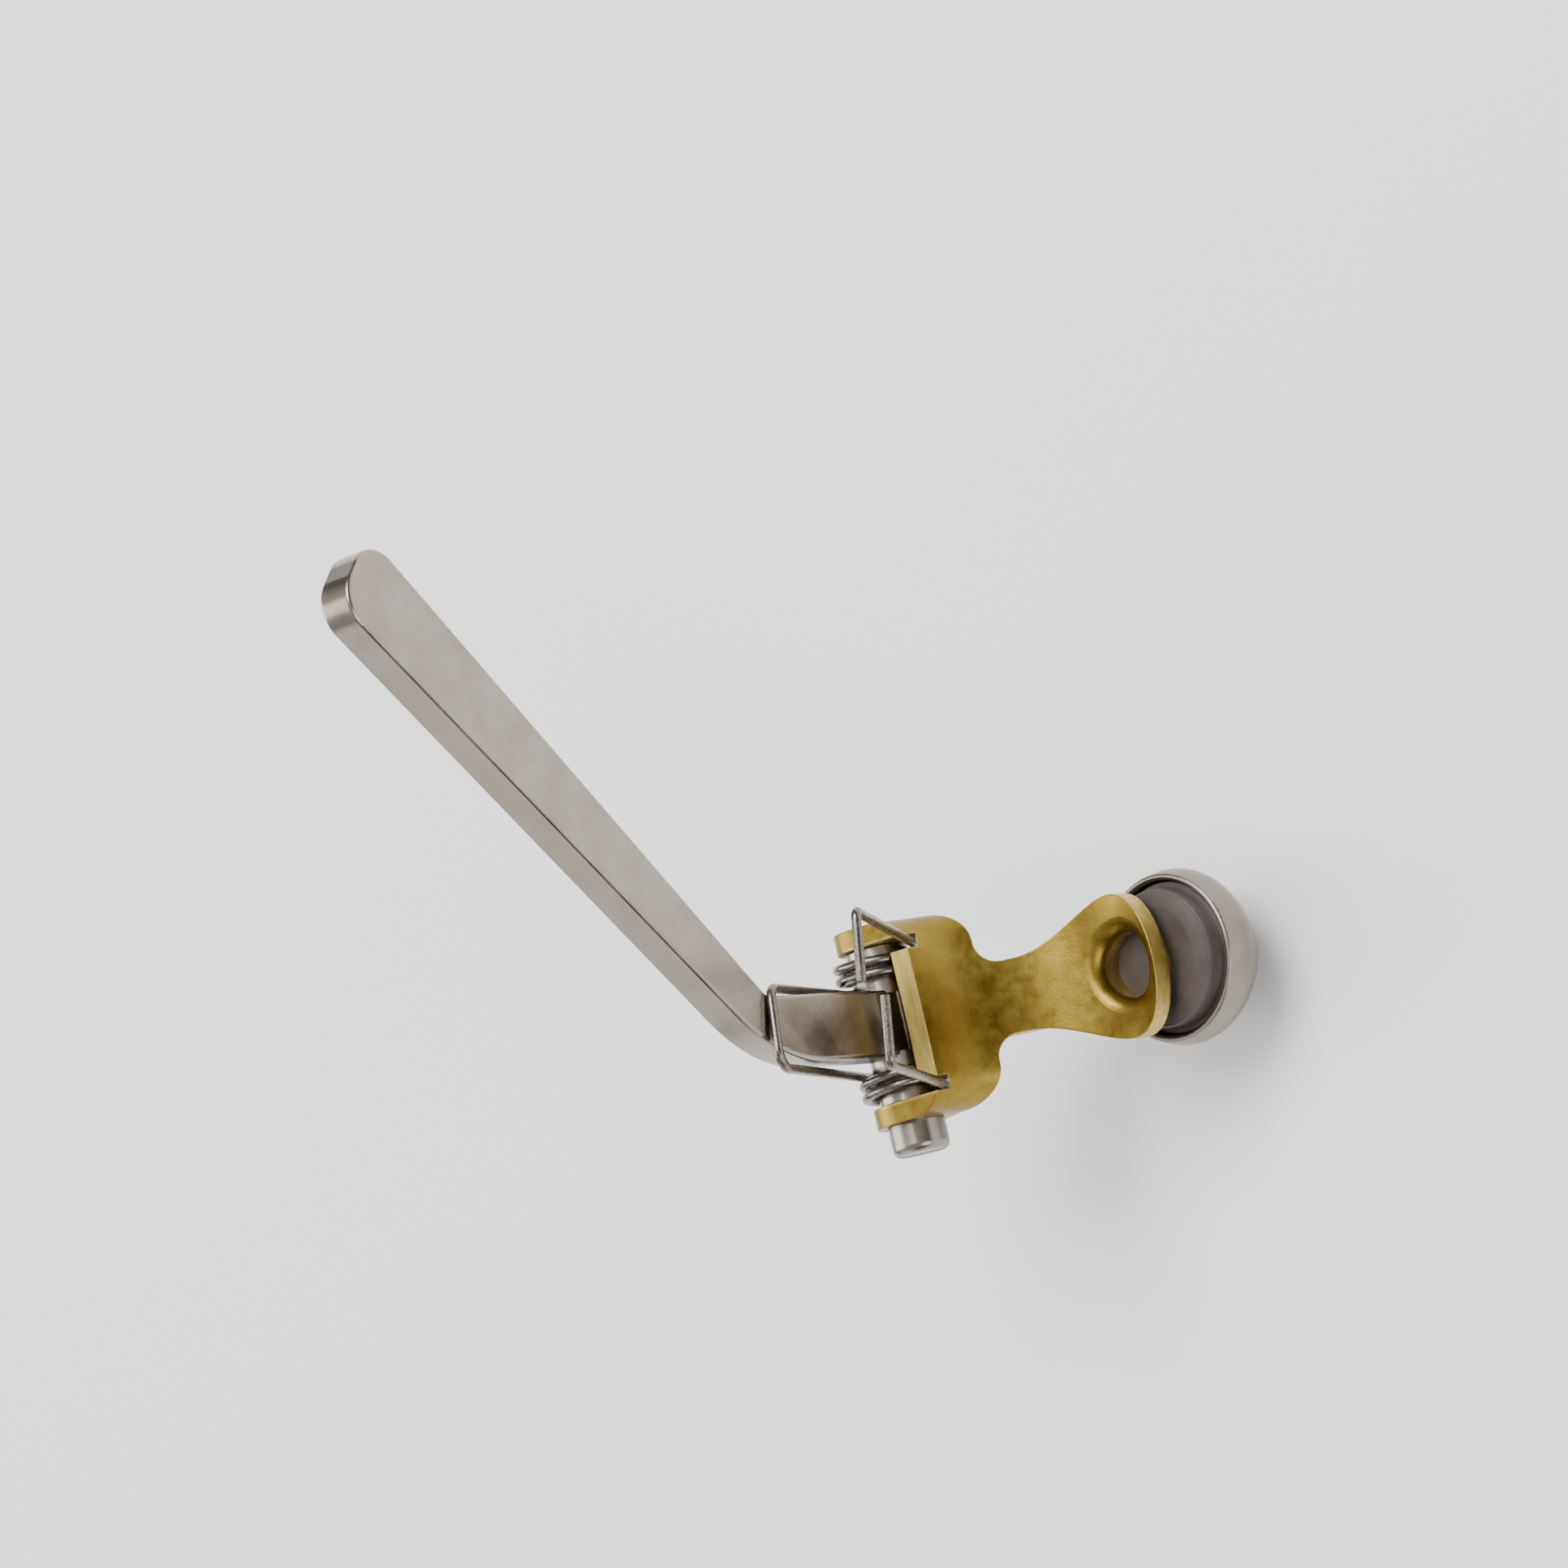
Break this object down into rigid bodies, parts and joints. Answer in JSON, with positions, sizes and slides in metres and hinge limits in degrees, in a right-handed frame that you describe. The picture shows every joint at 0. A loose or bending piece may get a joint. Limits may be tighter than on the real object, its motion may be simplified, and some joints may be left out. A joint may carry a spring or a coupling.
{
  "type": "water key",
  "caption": "Sprung water key for a brass instrument: kinked finger lever, hinge, pad cup and a saddle with a drain nipple.",
  "frame": {"origin": "on the axis of the instrument tube that the saddle wraps, level with the centre of the drain nipple", "axes": "+Y along the tube, from the head of the pivot screw towards the side the finger arm leans to; -Z out through the drain nipple; the hinge is on the -X side and the finger lever rises towards +Z"},
  "size_m": [0.0215, 0.0364, 0.0578],
  "materials": {
    "saddle_brass": "raw satin sheet, bare metal",
    "key_nickel": "polished nickel plate",
    "screw_nickel": "turned, nickel plated",
    "spring_steel": "drawn spring wire, bright",
    "pad_silicone": "matt silicone, slightly translucent"
  },
  "bodies": {
    "saddle": {"saddle_plate": "saddle_brass", "pivot_screw": "screw_nickel", "return_spring": "spring_steel"},
    "key": {"hinge_tube": "key_nickel", "key_lever": "key_nickel", "cup_arm": "key_nickel", "pad_cup": "key_nickel", "pad": "pad_silicone"}
  },
  "joints": [
    {"name": "key_pivot", "type": "hinge", "parent": "saddle", "child": "key", "pos_m": [-0.01242, 0, -0.00142], "axis": [0, 1, 0], "range_deg": [0, 16], "stiffness_Nm_per_rad": 0.03, "springref_deg": -34.38, "deforming": ["return_spring"]}
  ]
}
